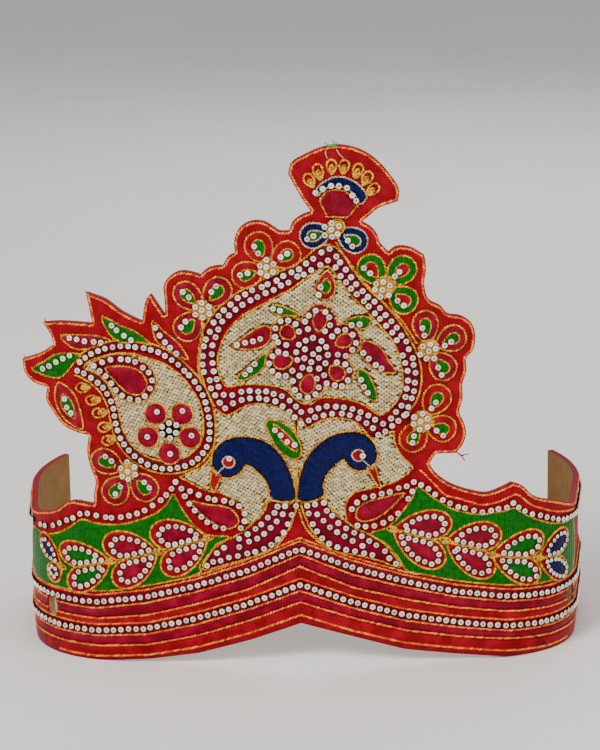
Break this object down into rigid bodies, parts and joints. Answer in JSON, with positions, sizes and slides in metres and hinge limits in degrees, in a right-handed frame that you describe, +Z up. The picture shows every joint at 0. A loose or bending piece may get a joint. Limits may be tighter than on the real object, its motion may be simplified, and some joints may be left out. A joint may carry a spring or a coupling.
{
  "type": "mukut crown",
  "caption": "Open-backed cloth crown on card with a tall embroidered front of flowers, leaves, peacocks and rows of stones, that stands on its lower rim.",
  "frame": {"origin": "middle of the crown's outer box, on the surface it stands on", "axes": "+Z up, -Y the embroidered front, +X the crown's left as worn (right in the picture)"},
  "size_m": [0.225, 0.1176, 0.2034],
  "materials": {
    "red_cloth": "matte red cotton cloth over card",
    "crimson_thread": "satin stitch thread",
    "green_thread": "satin stitch thread",
    "blue_thread": "satin stitch thread",
    "cream_thread": "dull metallic cream thread",
    "gold_cord": "gold couched cord",
    "stone_row": "clear cut stones in cup settings"
  },
  "bodies": {
    "root": {"band_field_left": "green_thread", "band_field_right": "green_thread", "beak_left": "red_cloth", "beak_right": "red_cloth", "cord_1": "gold_cord", "cord_2": "gold_cord", "cord_3": "gold_cord", "cord_4": "gold_cord", "cord_5": "gold_cord", "cord_6": "gold_cord", "crest_leaf": "green_thread", "crown_panel": "red_cloth", "fan_arc": "blue_thread", "fan_scallop": "crimson_thread", "flower_high": "crimson_thread", "flower_left": "crimson_thread", "flower_right": "crimson_thread", "flower_right_high": "green_thread", "flower_right_low": "crimson_thread", "flower_shoulder": "crimson_thread", "flower_top": "blue_thread", "leaf_edge_high": "green_thread", "leaf_edge_low": "green_thread", "leaf_edge_red": "crimson_thread", "leaf_edge_slim": "crimson_thread", "leaf_mango_green": "green_thread", "leaf_mango_low": "green_thread", "leaf_mango_red": "crimson_thread", "leaf_right_green": "green_thread", "leaf_right_low": "green_thread", "leaf_right_red": "crimson_thread", "leaf_side": "crimson_thread", "mango_drop": "crimson_thread", "mango_flower": "crimson_thread", "mango_ground": "cream_thread", "paisley_drop": "crimson_thread", "paisley_flower": "crimson_thread", "paisley_ground": "cream_thread", "peacock_ground_left": "cream_thread", "peacock_ground_right": "cream_thread", "peacock_neck_left": "blue_thread", "peacock_neck_right": "blue_thread", "petal_pair_1": "crimson_thread", "petal_pair_2": "crimson_thread", "petal_pair_3": "crimson_thread", "petal_pair_4": "crimson_thread", "petal_pair_5": "crimson_thread", "petal_pair_6": "crimson_thread", "petal_pair_7": "crimson_thread", "petal_pair_8": "crimson_thread", "stones_birds": "stone_row", "stones_low": "stone_row", "stones_mango": "stone_row", "stones_mid": "stone_row", "stones_paisley": "stone_row", "stones_tail_left": "stone_row", "stones_tail_right": "stone_row", "wing_left": "crimson_thread", "wing_right": "crimson_thread"}
  },
  "joints": []
}
